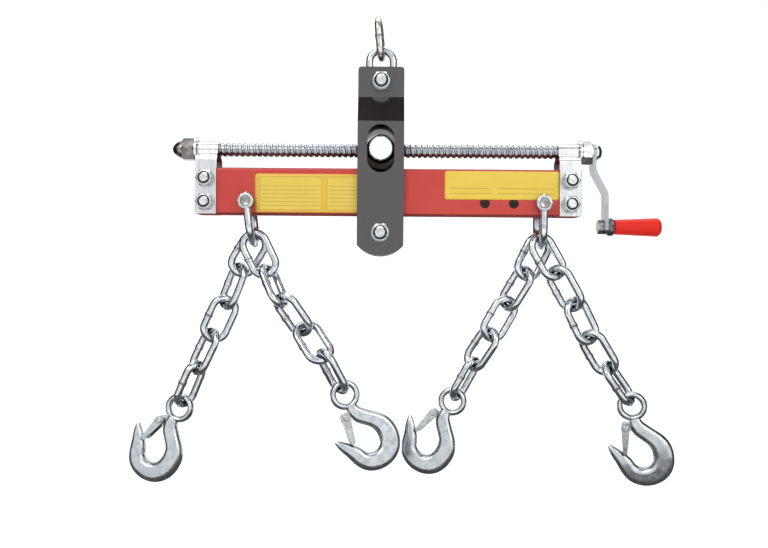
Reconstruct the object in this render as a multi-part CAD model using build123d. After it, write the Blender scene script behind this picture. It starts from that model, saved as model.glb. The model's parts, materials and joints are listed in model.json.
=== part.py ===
from build123d import *
import os
from math import asin, cos, radians, sin, sqrt

# Engine load leveler, in millimetres. +Z is up, +X runs along the beam to the crank and -Y is the front.
# The origin is the bearing point inside the top of the lifting link.

# Clearances
wire_gap = 0.6          # between two chain wires where one hangs in the other
bolt_clearance = 0.25   # round a bolt or pin in its hole, on the radius
thread_clearance = 0.1  # round a bolt in its nut, on the radius
running_gap = 0.3       # between faces that turn or slide on each other

# Seat of the insert ring in a lock nut, outside the bolt
insert_width = 1.4
insert_depth = 1.8

# Chain, lifting link and upper link
wire = 7.9
link_inner_length = 38.4
link_side_room = 9.1        # inside a link, beside the wire that hangs in it
weld_bulge = 0.45
weld_length = 5.0
lifting_link_length = 32.0  # inside; a shorter link than the others
lifting_link_lean = 5.0     # degrees, top to the left
lifting_link_turn = 86.0    # degrees away from facing the front

# Beam, a rectangular tube
beam_length = 400.0
beam_depth = 30.0
beam_height = 48.0
beam_wall = 3.0
beam_corner = 2.5
beam_inner_corner = 1.0
beam_centre_x = 8.0         # beam middle, measured from the slider
pin_hole_below_top = 35.3   # shackle pin axis below the beam's top face
left_pin_from_end = 54.0
right_pin_from_end = 40.0
spare_hole_pitch = 30.0
spare_holes = 2

# Slider: two joggled plates on two bolts, with a spacer under the beam
plate_width = 48.0
plate_thickness = 5.0
plate_corner = 3.5
plate_bottom_arc = 31.7
plate_top_above_bolt = 16.4
plate_link_gap = 0.7        # between the upper link's weld and each plate
plate_side_gap = 1.0        # between the beam and each plate
plate_below_bolt = 23.5
joggle_start = 15.5         # below the upper bolt's axis
joggle_height = 28.0
joggle_bend = 7.0
slot_side_gap = 1.5         # between the trunnion pin and each side of its slot
slot_height = 49.5
slider_bolt = 12.0
slider_nut_flats = 18.0
upper_bolt_to_screw = 70.0
spacer_below_beam = 9.0
spacer_diameter = 20.0

# Lead screw, trunnion nut and end fittings
screw_diameter = 14.2
journal_diameter = 10.0
trunnion_pin = 25.0
trunnion_body = 37.0
trunnion_proud = 1.0
trunnion_above_beam = 1.5   # between the trunnion body and the beam's top face
washer_diameter = 27.0
washer_thickness = 3.0
end_nut_flats = 22.0
cap_nut_hex = 12.8
cap_nut_dome = 11.0
cap_dome_diameter = 19.0
crank_nut_height = 11.0
dome_nut_height = 7.0
dome_nut_diameter = 18.0

# End brackets, folded from strap over a bush
strap_width = 21.5
strap_thickness = 2.5
bush_outer = 13.0
left_bracket_inset = 1.0
right_bracket_inset = 1.5
strap_neck = 4.5            # straight run below the screw axis before the strap spreads
strap_spread = 6.0          # height over which it spreads to the beam's sides
strap_bend = 4.0
bracket_bolt = 10.0
bracket_nut_flats = 16.0
bracket_bolts_below_top = (12.0, 36.2)

# Crank
arm_width = 16.0
arm_thickness = 4.0
arm_step = 13.2             # sideways step of the arm
arm_step_start = 19.5       # below the screw axis
arm_step_end = 43.5
arm_bend = 14.0
crank_radius = 78.0
grip_bolt = 8.0
grip_bolt_flats = 13.0
grip_bolt_head = 6.0
grip_nut_flats = 16.0
grip_nut_height = 6.5
grip_length = 49.5
grip_inner_diameter = 15.6
grip_outer_diameter = 19.5
grip_end_wall = 6.0

# Shackles
shackle_wire = 8.0
shackle_side_gap = 1.6      # between the beam and each shackle eye
shackle_leg_length = 22.6
shackle_eye = 16.5
shackle_eye_step = 0.4      # the eye is thicker than the wire by this on each side
shackle_pin = 10.0
pin_head = 16.0
pin_head_thickness = 5.0
pin_end_inset = 1.0
first_link_gap = 5.9        # between the two first links, side by side in the bow
nearer_chains = ("left_inner", "right_outer")

# Hook, drawn with its eye centre at the origin, its throat to the left and its bowl below
eye_inner = 18.0
eye_wire = 6.5
eye_thickness = 9.0
hook_bowl = Vector(-1.6, -53.5)       # centre of the bowl
hook_bowl_radius = 11.3
hook_back = Vector(1.0, -55.0)        # centre of the round outside
hook_back_radius = 29.5
hook_tip = Vector(-31.9, -36.4)
hook_edge_round = 0.42                # corner radius as a share of the section's thinner side
latch_pivot = Vector(-11.3, -20.7)
latch_lug_radius = 4.4
latch_lug_thickness = 6.0
latch_rest_angle = 13.5               # degrees from the hook's axis, towards the throat
latch_length = 27.4
latch_ear_radius = 4.3
latch_end_radius = 2.2
latch_inside = 12.6                   # between the ears, over the hook's neck
latch_sheet = 1.3
rivet_diameter = 3.6
rivet_head = 6.4
rivet_head_height = 1.2
spring_outer = 7.4
spring_wire = 0.9

# How each chain lies: degrees of lean from straight down (to the right is plus), degrees of splay to the front
# and degrees of turn about the link's own length, right leg to the front. The last entry is the hook.
chain_poses = {
    "left_outer": {
        "lean": (-30.0, -21.0, -24.0, -25.0, -22.0, -28.0),
        "splay": (0.0, 0.0, 0.0, 0.0, 0.0, 0.0),
        "turn": (-19.0, 50.0, -24.0, 48.0, -62.0, 10.0),
    },
    "left_inner": {
        "lean": (26.0, 26.0, 34.0, 36.0, 27.0, 30.0),
        "splay": (0.0, 28.0, -12.0, 28.0, -12.0, 0.0),
        "turn": (0.0, -70.0, 40.0, -30.0, 60.0, -14.0),
    },
    "right_inner": {
        "lean": (-26.0, -29.0, -30.0, -31.0, -29.0, -29.0),
        "splay": (0.0, -16.0, 2.0, -16.0, 2.0, 0.0),
        "turn": (-17.0, 54.0, -22.0, 48.0, -60.0, 14.0),
    },
    "right_outer": {
        "lean": (30.0, 29.0, 26.0, 31.0, 35.0, 14.0),
        "splay": (0.0, 0.0, 0.0, 0.0, 0.0, 0.0),
        "turn": (-24.0, 46.0, -28.0, 44.0, -60.0, 16.0),
    },
}
shackle_leans = {"left": 7.5, "right": 0.0}    # degrees, bow to the right

# Places worked out from the sizes above, from the lifting point downwards
link_inner_width = wire + link_side_room
link_bow = (link_inner_width + wire) / 2
link_reach = link_inner_length + wire          # from wire centre to wire centre along a link
lifting_drop = lifting_link_length + wire / 2  # from the bearing point to the lower wire's centre
slider_x = lifting_drop * sin(radians(lifting_link_lean))
lifting_low_z = -lifting_drop * cos(radians(lifting_link_lean))
upper_link_z = lifting_low_z + wire + wire_gap
upper_bolt_z = upper_link_z - link_reach + wire / 2 + running_gap + slider_bolt / 2
screw_z = upper_bolt_z - upper_bolt_to_screw
beam_top_z = screw_z - trunnion_body / 2 - trunnion_above_beam
lower_bolt_z = beam_top_z - beam_height - spacer_below_beam - spacer_diameter / 2
plate_top_z = upper_bolt_z + plate_top_above_bolt
plate_bottom_z = lower_bolt_z - plate_below_bolt
plate_top_gap = wire + 2 * weld_bulge + 2 * plate_link_gap
plate_side_y = beam_depth / 2 + plate_side_gap  # inside of the plates beside the beam
plate_outside_y = plate_side_y + plate_thickness
slot_width = trunnion_pin + 2 * slot_side_gap
beam_z = beam_top_z - beam_height / 2
beam_x = slider_x + beam_centre_x
beam_left_x = beam_x - beam_length / 2
beam_right_x = beam_x + beam_length / 2
pin_z = beam_top_z - pin_hole_below_top
left_pin_x = beam_left_x + left_pin_from_end
right_pin_x = beam_right_x - right_pin_from_end
left_bracket_x = beam_left_x + left_bracket_inset + strap_width / 2
right_bracket_x = beam_right_x - right_bracket_inset - strap_width / 2
washer_hole = journal_diameter + 2 * bolt_clearance
left_washer_x = left_bracket_x - strap_width / 2 - running_gap    # its inner face
right_washer_x = right_bracket_x + strap_width / 2 + running_gap
crank_nut_x = right_washer_x + washer_thickness
arm_x = crank_nut_x + crank_nut_height
dome_nut_x = arm_x + arm_thickness
grip_z = screw_z - crank_radius
arm_low_x = arm_x + arm_step
grip_nut_x = arm_low_x + arm_thickness
grip_x = grip_nut_x + grip_nut_height + running_gap
shackle_eye_thickness = shackle_wire + 2 * shackle_eye_step
shackle_bow = beam_depth / 2 + shackle_side_gap + shackle_eye_thickness / 2
first_link_offset = (wire + first_link_gap) / 2


def unit(vector):
    return vector / vector.length


def across(solid_x, solid_y, solid_z):
    """Location at a point, with the piece's own Z turned to point to the front."""
    return Location((solid_x, solid_y, solid_z), (90, 0, 0))


def along(solid_x, solid_z):
    """Location at a point of the X-Z plane, with the piece's own Z turned to point along +X."""
    return Location((solid_x, 0, solid_z), (0, 90, 0))


def upward(sketch, start, height):
    """A sketch of the X-Y plane raised from start to start + height."""
    return Pos(0, 0, start) * extrude(sketch, height)


def hex_prism(flats, height):
    """Hexagon with its corners turned off at both ends, standing on the X-Y plane."""
    corners = flats / sqrt(3)
    prism = extrude(RegularPolygon(corners, 6), height)
    turned = Pos(0, 0, height / 2) * Cylinder(corners, height)
    return prism & chamfer(turned.edges().filter_by(GeomType.CIRCLE), (corners - flats / 2) * 0.9)


def bore(solid, diameter, height):
    return solid - Pos(0, 0, height / 2) * Cylinder(diameter / 2, height * 1.2)


def lock_nut(flats, thread, hex_height, collar_height):
    """Lock nut: a hexagon, and a round collar with a seat for its insert ring."""
    collar = flats * 0.48
    nut = hex_prism(flats, hex_height) + upward(Circle(collar), hex_height - 1, collar_height + 1)
    nut = fillet(nut.edges().filter_by(GeomType.CIRCLE).sort_by(Axis.Z)[-1], 1.0)
    height = hex_height + collar_height
    nut -= upward(Circle(thread / 2 + insert_width), height - insert_depth, insert_depth + 1)
    return bore(nut, thread + 2 * thread_clearance, height)


def hex_bolt(flats, head_height, diameter, length):
    """Bolt with its head below the X-Y plane and its shank standing on it."""
    shank = Pos(0, 0, length / 2) * Cylinder(diameter / 2, length)
    shank = chamfer(shank.edges().filter_by(GeomType.CIRCLE).sort_by(Axis.Z)[-1], diameter * 0.09)
    return Pos(0, 0, -head_height) * hex_prism(flats, head_height) + shank


def link_solid(inner_length):
    """Chain link in the X-Y plane, upper wire centre at the origin, hanging down along -Y."""
    straight = inner_length + wire - 2 * link_bow
    section = Plane.XZ * Pos(link_bow, 0) * Circle(wire / 2)
    bow = revolve(section, Axis.Z, 180)
    leg = extrude(section, straight)
    swell = Cylinder(wire / 2 + weld_bulge, weld_length, rotation=(90, 0, 0))
    swell = fillet(swell.edges().filter_by(GeomType.CIRCLE), weld_bulge)
    link = bow + leg + Pos(-2 * link_bow, 0) * leg + Pos(0, -straight) * Rot(0, 0, 180) * bow
    link += Pos(-link_bow, -straight / 2) * swell
    return Pos(0, -link_bow) * link


def hanging(point, down, side):
    """Location of a piece drawn in the X-Y plane: its origin, its -Y and its X in the model."""
    return Plane(origin=point, x_dir=side, z_dir=side.cross(down * -1)).location


def facing(lean, splay, turn):
    """Directions of a link's length and of its width from its lean, splay and turn."""
    down = Vector(sin(radians(lean)), 0, -cos(radians(lean)))
    side = Vector(cos(radians(lean)), 0, sin(radians(lean)))
    down = unit(down - Vector(0, sin(radians(splay)), 0))
    return down, side.rotate(Axis((0, 0, 0), tuple(down)), turn)


def bow_seat(name):
    """Point and direction of the shackle bow's wire where a chain's first link hangs."""
    front = -1 if name in nearer_chains else 1
    room = shackle_bow - shackle_wire / 2 - wire_gap - wire / 2
    climb = asin(front * first_link_offset / room)
    seat = Vector(0, shackle_bow * sin(climb), -shackle_leg_length - shackle_bow * cos(climb))
    side = name.split("_")[0]
    tangent = Vector(0, cos(climb), sin(climb)).rotate(Axis.Y, -shackle_leans[side])
    return (shackle_place(side) * Pos(seat)).position, tangent


def chain_frames(name):
    """Point, length direction and width direction of each link of a chain and of its hook.

    Each piece hangs on the wire above it along the common normal of the two wires, so the gap is exact.
    """
    pose = chain_poses[name]
    held_at, held_along = bow_seat(name)
    held_wire = shackle_wire
    own_wires = [wire] * (len(pose["lean"]) - 1) + [eye_wire]
    frames = []
    for lean, splay, turn, own_wire in zip(pose["lean"], pose["splay"], pose["turn"], own_wires):
        down, side = facing(lean, splay, turn)
        normal = unit(held_along.cross(side))
        if normal.dot(down) < 0:
            normal = normal * -1
        point = held_at - normal * (held_wire / 2 + wire_gap + own_wire / 2)
        frames.append((point, down, side))
        held_at = point + down * link_reach
        held_along = side
        held_wire = wire
    return frames


def hook_sections():
    """Centre, heading, width and thickness of the hook's sections, from its eye down and round to its tip."""
    neck = [
        (Vector(0, -11.6), Vector(0, -1), 10.5, 7.6),
        (Vector(0, -17.0), Vector(0, -1), 13.0, 10.6),
        (Vector(2.6, -24.6), Vector(0.40, -0.92), 16.0, 11.6),
        (Vector(9.0, -32.0), Vector(0.60, -0.80), 16.2, 12.0),
        (Vector(17.8, -43.2), Vector(0.24, -0.97), 19.0, 13.4),
    ]
    bowl = []
    for angle, thickness in ((-45, 14.4), (-90, 14.6), (-135, 13.6)):
        ray = Vector(cos(radians(angle)), sin(radians(angle)))
        away = hook_bowl - hook_back
        reach = sqrt(hook_back_radius**2 - away.length**2 + away.dot(ray) ** 2) - away.dot(ray)
        middle = (reach + hook_bowl_radius) / 2
        heading = Vector(ray.Y, -ray.X)
        bowl.append((hook_bowl + ray * middle, heading, reach - hook_bowl_radius, thickness))
    point = [
        (Vector(-21.4, -54.4), Vector(-0.22, 0.98), 15.0, 12.0),
        (Vector(-27.2, -45.4), Vector(-0.50, 0.87), 10.2, 9.4),
        (Vector(-30.9, -38.6), Vector(-0.42, 0.91), 5.0, 6.6),
        (hook_tip, Vector(-0.42, 0.91), 2.8, 4.6),
    ]
    return neck + bowl + point


def hook_solid():
    """Forged eye hook in the X-Y plane, eye centre at the origin."""
    sections = []
    for centre, heading, width, thickness in hook_sections():
        side = Vector(-heading.Y, heading.X)
        place = Plane(origin=centre, x_dir=side, z_dir=heading)
        round_off = min(width, thickness) * hook_edge_round
        sections.append(place * RectangleRounded(width, thickness, round_off))
    body = loft(sections)
    eye_radius = (eye_inner + eye_wire) / 2
    eye = revolve(Plane.XZ * Pos(eye_radius, 0) * Ellipse(eye_wire / 2, eye_thickness / 2), Axis.Z)
    lug = Pos(latch_pivot.X / 2, latch_pivot.Y) * SlotCenterToCenter(-latch_pivot.X, 2 * latch_lug_radius)
    lug = upward(lug, -latch_lug_thickness / 2, latch_lug_thickness)
    hole = rivet_diameter / 2 + bolt_clearance
    return body + eye + lug - Pos(latch_pivot) * Cylinder(hole, 2 * latch_lug_thickness)


def latch_solid():
    """Sheet latch, an open channel with two ears on the rivet, pointing down along -Y from its pivot."""
    end = latch_length - latch_end_radius
    outline = make_hull((Circle(latch_ear_radius) + Pos(0, -end) * Circle(latch_end_radius)).edges())
    width = latch_inside + 2 * latch_sheet
    latch = upward(outline, -width / 2, width)
    channel = upward(Pos(latch_sheet, 0) * outline, -latch_inside / 2, latch_inside)
    around_lug = Cylinder(latch_lug_radius + 2 * running_gap, latch_inside)
    latch -= channel + around_lug
    return latch - Cylinder(rivet_diameter / 2 + thread_clearance, 2 * width)


def latch_rivet():
    width = latch_inside + 2 * latch_sheet
    head = Pos(0, 0, width / 2 + rivet_head_height / 2) * Cylinder(rivet_head / 2, rivet_head_height)
    head = fillet(head.edges().filter_by(GeomType.CIRCLE).sort_by(Axis.Z)[-1], rivet_head_height * 0.7)
    return Cylinder(rivet_diameter / 2, width) + head + Rot(0, 180, 0) * head


def latch_spring():
    """Torsion spring beside the lug, with the leg that pushes the latch shut."""
    room = (latch_inside - latch_lug_thickness) / 2 - 2 * running_gap
    inner = rivet_diameter / 2 + bolt_clearance
    coil = upward(Circle(spring_outer / 2) - Circle(inner), latch_lug_thickness / 2 + running_gap, room)
    leg_z = latch_lug_thickness / 2 + running_gap + room / 2
    leg_x = spring_wire / 2 - spring_outer / 2
    leg_length = latch_lug_radius * 0.7
    leg = Pos(leg_x, -leg_length / 2, leg_z) * Cylinder(spring_wire / 2, leg_length, rotation=(90, 0, 0))
    return coil + leg


def shackle_place(side):
    """Location of a shackle: the middle of its pin, leaning as the shackle hangs."""
    pin_x = {"left": left_pin_x, "right": right_pin_x}[side]
    return Location((pin_x, 0, pin_z), (0, -shackle_leans[side], 0))


def shackle_solid():
    """Shackle with the middle of its pin at the origin and its bow below."""
    section = Pos(0, shackle_bow, -shackle_leg_length) * Circle(shackle_wire / 2)
    bow = revolve(section, Axis((0, 0, -shackle_leg_length), (1, 0, 0)), -180)
    leg = extrude(section, shackle_leg_length)
    eye = across(0, shackle_bow, 0) * Cylinder(shackle_eye / 2, shackle_eye_thickness)
    eye = fillet(eye.edges().filter_by(GeomType.CIRCLE), 1.2)
    hole = Cylinder(shackle_pin / 2 + bolt_clearance, 4 * shackle_bow, rotation=(90, 0, 0))
    arm = leg + eye
    return bow + arm + mirror(arm, Plane.XZ) - hole


def shackle_pin_solid():
    """Pin with a round head behind, its plain end just inside the front eye."""
    half = shackle_bow + shackle_eye_thickness / 2
    shank = upward(Circle(shackle_pin / 2), 0, 2 * half - pin_end_inset)
    shank = chamfer(shank.edges().filter_by(GeomType.CIRCLE).sort_by(Axis.Z)[-1], 1.0)
    head = upward(Circle(pin_head / 2), -pin_head_thickness, pin_head_thickness)
    head = fillet(head.edges().filter_by(GeomType.CIRCLE).sort_by(Axis.Z)[0], 2.0)
    return across(0, half, 0) * (shank + head)


def beam_solid():
    outer = RectangleRounded(beam_height, beam_depth, beam_corner)
    inner = RectangleRounded(beam_height - 2 * beam_wall, beam_depth - 2 * beam_wall, beam_inner_corner)
    tube = along(beam_left_x, beam_z) * extrude(outer - inner, beam_length)
    pin_hole = shackle_pin / 2 + bolt_clearance
    bolt_hole = bracket_bolt / 2 + bolt_clearance
    holes = [(left_pin_x, pin_z, pin_hole)]
    holes += [(right_pin_x - step * spare_hole_pitch, pin_z, pin_hole) for step in range(spare_holes + 1)]
    holes += [(x, z, bolt_hole) for x, z in bracket_bolt_places()]
    for hole_x, hole_z, radius in holes:
        tube -= across(hole_x, 0, hole_z) * Cylinder(radius, 2 * beam_depth)
    return tube


def bracket_bolt_places():
    return [(x, beam_top_z - below) for x in (left_bracket_x, right_bracket_x) for below in bracket_bolts_below_top]


def bracket_solid(bracket_x):
    """Strap folded over the bush, spread to the beam's sides and run down to its lower edge."""
    loop = (bush_outer + strap_thickness) / 2
    side = (beam_depth + strap_thickness) / 2
    foot_z = beam_top_z - beam_height
    neck_z = screw_z - strap_neck
    leg = FilletPolyline((loop, screw_z), (loop, neck_z), (side, neck_z - strap_spread), (side, foot_z),
                         radius=strap_bend)
    arch = CenterArc((0, screw_z), loop, 0, 90)
    half = Plane.YZ * (Curve() + [arch, leg])
    section = Plane.XY * Pos(0, side, foot_z) * Rectangle(strap_width, strap_thickness)
    strap = sweep(section, path=half.wire())
    strap = strap + mirror(strap, Plane.XZ)
    for below in bracket_bolts_below_top:
        strap -= across(0, 0, beam_top_z - below) * Cylinder(bracket_bolt / 2 + bolt_clearance, 2 * beam_depth)
    return Pos(bracket_x, 0, 0) * strap


def bush_solid(bracket_x):
    ring = Circle(bush_outer / 2) - Circle(journal_diameter / 2 + bolt_clearance)
    return along(bracket_x - strap_width / 2, screw_z) * extrude(ring, strap_width)


def bracket_bolt_solids():
    under_head = beam_depth / 2 + strap_thickness
    length = 2 * under_head + 11.0
    bolt = hex_bolt(bracket_nut_flats, 6.4, bracket_bolt, length)
    return [across(x, under_head, z) * bolt for x, z in bracket_bolt_places()]


def bracket_nut_solids():
    nut = lock_nut(bracket_nut_flats, bracket_bolt, 7.0, 2.8)
    seat = -beam_depth / 2 - strap_thickness
    return [across(x, seat, z) * nut for x, z in bracket_bolt_places()]


def plate_solid():
    """Front slider plate: sheet bent inwards at the top to grip the upper link."""
    top_y = -plate_top_gap / 2 - plate_thickness / 2
    side_y = -plate_side_y - plate_thickness / 2
    upper_z = upper_bolt_z - joggle_start
    lower_z = upper_z - joggle_height
    line = FilletPolyline((top_y, plate_top_z), (top_y, upper_z), (side_y, lower_z), (side_y, plate_bottom_z),
                          radius=joggle_bend)
    section = Plane.XY * Pos(0, top_y, plate_top_z) * Rectangle(plate_width, plate_thickness)
    sheet = sweep(section, path=(Plane.YZ * line).wire())
    half = plate_width / 2
    sag = plate_bottom_arc - sqrt(plate_bottom_arc**2 - half**2)
    shoulder = plate_bottom_z + sag
    outline = Polyline((-half, shoulder), (-half, plate_top_z), (half, plate_top_z), (half, shoulder))
    outline += ThreePointArc((half, shoulder), (0, plate_bottom_z), (-half, shoulder))
    face = make_face(Plane.XZ * outline)
    blank = extrude(face, 2 * plate_outside_y, both=True)
    blank = fillet(blank.edges().filter_by(Axis.Y).group_by(Axis.Z)[-1], plate_corner)
    plate = sheet & blank
    for bolt_z in (upper_bolt_z, lower_bolt_z):
        plate -= across(0, 0, bolt_z) * Cylinder(slider_bolt / 2 + bolt_clearance, 4 * plate_outside_y)
    slot = across(0, 0, screw_z) * Rot(0, 0, 90) * upward(
        SlotOverall(slot_height, slot_width), -2 * plate_outside_y, 4 * plate_outside_y)
    return Pos(slider_x, 0, 0) * (plate - slot)


def slider_bolt_seats():
    """Height of each slider bolt and the distance from the middle to the plates' outside there."""
    return [(upper_bolt_z, plate_top_gap / 2 + plate_thickness), (lower_bolt_z, plate_outside_y)]


def slider_bolt_solids():
    bolts = []
    for bolt_z, outside in slider_bolt_seats():
        bolt = hex_bolt(slider_nut_flats, 7.5, slider_bolt, 2 * outside + 13.0)
        bolts.append(across(slider_x, outside, bolt_z) * bolt)
    return bolts


def slider_nut_solids():
    nut = lock_nut(slider_nut_flats, slider_bolt, 8.2, 3.2)
    return [across(slider_x, -outside, bolt_z) * nut for bolt_z, outside in slider_bolt_seats()]


def spacer_solid():
    length = 2 * plate_side_y
    ring = Circle(spacer_diameter / 2) - Circle(slider_bolt / 2 + bolt_clearance)
    return across(slider_x, length / 2, lower_bolt_z) * extrude(ring, length)


def trunnion_solid():
    """Cross nut: a round body between the plates, a pin in each slot and the screw's thread across it."""
    half = plate_side_y - running_gap
    pin_end = plate_outside_y + trunnion_proud
    body = upward(Circle(trunnion_body / 2), -half, 2 * half)
    pin = upward(Circle(trunnion_pin / 2), -pin_end, 2 * pin_end)
    pin = chamfer(pin.edges().filter_by(GeomType.CIRCLE), 1.0)
    hole = Cylinder(screw_diameter / 2 + bolt_clearance, 2 * trunnion_body, rotation=(0, 90, 0))
    return across(slider_x, 0, screw_z) * (body + pin - hole)


def screw_solid():
    """Lead screw: the threaded length between the brackets and a journal at each end."""
    thread_left = left_bracket_x + strap_width / 2 + running_gap
    thread_right = right_bracket_x - strap_width / 2 - running_gap
    end_left = left_washer_x - washer_thickness - cap_nut_hex - cap_nut_dome * 0.3
    end_right = dome_nut_x + dome_nut_height * 0.45
    thread = upward(Circle(screw_diameter / 2), thread_left, thread_right - thread_left)
    journal = upward(Circle(journal_diameter / 2), end_left, end_right - end_left)
    return along(0, screw_z) * (thread + journal)


def washer_solids():
    ring = Circle(washer_diameter / 2) - Circle(washer_hole / 2)
    washer = chamfer(extrude(ring, washer_thickness).edges().filter_by(GeomType.CIRCLE), 0.4)
    return [along(left_washer_x - washer_thickness, screw_z) * washer, along(right_washer_x, screw_z) * washer]


def cap_nut_solid():
    """Domed nut on the left end of the screw, one corner to the front."""
    radius = cap_dome_diameter / 2
    tip = cap_nut_hex + cap_nut_dome
    flat = 2.0
    profile = Polyline((0, tip), (0, 0), (radius, 0), (radius, cap_nut_hex))
    profile += ThreePointArc((radius, cap_nut_hex), (radius * 0.80, cap_nut_hex + cap_nut_dome * 0.55), (flat, tip))
    profile += Line((flat, tip), (0, tip))
    dome = revolve(Plane.XZ * make_face(profile), Axis.Z)
    nut = hex_prism(end_nut_flats, cap_nut_hex) + dome
    depth = cap_nut_hex + cap_nut_dome * 0.35
    nut -= upward(Circle(journal_diameter / 2 + thread_clearance), -1, depth + 1)
    seat = Location((left_washer_x - washer_thickness, 0, screw_z), (0, -90, 0))
    return seat * Rot(0, 0, 30) * nut


def crank_nut_solid():
    nut = bore(hex_prism(end_nut_flats, crank_nut_height), journal_diameter + 2 * thread_clearance, crank_nut_height)
    return along(crank_nut_x, screw_z) * nut


def dome_nut_solid():
    radius = dome_nut_diameter / 2
    rim = 1.6
    flat = 1.5
    profile = Polyline((0, dome_nut_height), (0, 0), (radius, 0), (radius, rim))
    profile += ThreePointArc((radius, rim), (radius * 0.72, dome_nut_height * 0.76), (flat, dome_nut_height))
    profile += Line((flat, dome_nut_height), (0, dome_nut_height))
    dome = revolve(Plane.XZ * make_face(profile), Axis.Z)
    dome -= upward(Circle(journal_diameter / 2 + thread_clearance), -1, dome_nut_height * 0.5 + 1)
    return along(dome_nut_x, screw_z) * dome


def crank_arm_solid():
    """Flat strap with an outward step, round at both ends."""
    middle = arm_thickness / 2
    end = arm_width / 2
    top_z = screw_z + end
    line = FilletPolyline((arm_x + middle, top_z), (arm_x + middle, screw_z - arm_step_start),
                          (arm_low_x + middle, screw_z - arm_step_end), (arm_low_x + middle, grip_z - end),
                          radius=arm_bend)
    section = Plane.XY * Pos(arm_x + middle, 0, top_z) * Rectangle(arm_thickness, arm_width)
    strap = sweep(section, path=(Plane.XZ * line).wire())
    outline = Pos(0, (screw_z + grip_z) / 2) * Rot(0, 0, 90) * SlotCenterToCenter(crank_radius, arm_width)
    arm = strap & (Plane.YZ * Pos(0, 0, arm_x) * extrude(outline, arm_step + arm_thickness))
    arm -= along(arm_x, screw_z) * Cylinder(journal_diameter / 2 + bolt_clearance, 3 * arm_thickness)
    return arm - along(arm_low_x, grip_z) * Cylinder(grip_bolt / 2 + bolt_clearance, 3 * arm_thickness)


def grip_bolt_solid():
    length = arm_thickness + grip_nut_height + running_gap + grip_length - grip_end_wall - 1.0
    return along(arm_low_x, grip_z) * hex_bolt(grip_bolt_flats, grip_bolt_head, grip_bolt, length)


def grip_nut_solid():
    nut = bore(hex_prism(grip_nut_flats, grip_nut_height), grip_bolt + 2 * thread_clearance, grip_nut_height)
    return along(grip_nut_x, grip_z) * nut


def grip_solid():
    """Tapered moulded grip, open towards the arm and closed at its round outer end."""
    small = grip_inner_diameter / 2
    large = grip_outer_diameter / 2
    crown = 4.0
    profile = Polyline((0, grip_length), (0, 0), (small - 1, 0), (small, 1), (large, grip_length - crown))
    profile += ThreePointArc((large, grip_length - crown), (large * 0.82, grip_length - crown * 0.30),
                             (large * 0.45, grip_length))
    profile += Line((large * 0.45, grip_length), (0, grip_length))
    grip = revolve(Plane.XZ * make_face(profile), Axis.Z)
    grip -= upward(Circle(grip_bolt / 2 + running_gap), -1, grip_length - grip_end_wall + 1)
    return along(grip_x, grip_z) * grip


def save(name, solids):
    """Write one node, made of one solid or of a group of like solids."""
    if isinstance(solids, list):
        solids = Compound(children=[solid.solid() for solid in solids])
    export_step(solids, os.path.join("parts", name + ".step"))


def lifting_pieces():
    lifting = link_solid(lifting_link_length)
    half = Location((0, 0, wire / 2)) * Location((0, 0, 0), (90, 0, 0)) * lifting
    lean = Location((0, 0, 0), (0, -lifting_link_lean, 0)) * Location((0, 0, 0), (0, 0, lifting_link_turn))
    upper_place = hanging(Vector(slider_x, 0, upper_link_z), Vector(0, 0, -1), Vector(1, 0, 0))
    upper = upper_place * link_solid(link_inner_length)
    return {"lifting_link": lean * half, "upper_link": upper}


def slider_pieces():
    plate = plate_solid()
    return {
        "front_plate": plate,
        "rear_plate": mirror(plate, Plane.XZ),
        "slider_bolts": slider_bolt_solids(),
        "slider_nuts": slider_nut_solids(),
        "lower_spacer": spacer_solid(),
        "trunnion_nut": trunnion_solid(),
    }


def beam_pieces():
    return {
        "beam": beam_solid(),
        "left_bracket": bracket_solid(left_bracket_x),
        "right_bracket": bracket_solid(right_bracket_x),
        "screw_bushes": [bush_solid(left_bracket_x), bush_solid(right_bracket_x)],
        "bracket_bolts": bracket_bolt_solids(),
        "bracket_nuts": bracket_nut_solids(),
    }


def screw_pieces():
    return {
        "lead_screw": screw_solid(),
        "screw_washers": washer_solids(),
        "cap_nut": cap_nut_solid(),
        "crank_nut": crank_nut_solid(),
        "crank_arm": crank_arm_solid(),
        "crank_dome_nut": dome_nut_solid(),
        "grip_bolt": grip_bolt_solid(),
        "grip_nut": grip_nut_solid(),
        "crank_grip": grip_solid(),
    }


def shackle_pieces():
    pieces = {}
    for side in shackle_leans:
        pieces[side + "_shackle"] = shackle_place(side) * shackle_solid()
        pieces[side + "_shackle_pin"] = shackle_place(side) * shackle_pin_solid()
    return pieces


def chain_pieces(name):
    """Five links, the hook and its latch, placed as the chain lies."""
    frames = chain_frames(name)
    link = link_solid(link_inner_length)
    pieces = {}
    for number, frame in enumerate(frames[:-1], start=1):
        pieces[f"{name}_link_{number}"] = hanging(*frame) * link
    top, down, side = frames[-1]
    eye = hanging(top + down * (eye_inner + eye_wire) / 2, down, side)
    pivot = eye * Pos(latch_pivot) * Rot(0, 0, -latch_rest_angle)
    pieces[f"{name}_hook"] = eye * hook_solid()
    pieces[f"{name}_latch"] = pivot * latch_solid()
    pieces[f"{name}_latch_pivot"] = [pivot * latch_rivet(), pivot * latch_spring()]
    return pieces


def main():
    os.makedirs("parts", exist_ok=True)
    pieces = lifting_pieces() | slider_pieces() | beam_pieces() | screw_pieces() | shackle_pieces()
    for name in chain_poses:
        pieces |= chain_pieces(name)
    for name, solids in pieces.items():
        save(name, solids)
    print(len(pieces), "nodes")


if __name__ == "__main__":
    main()
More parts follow.
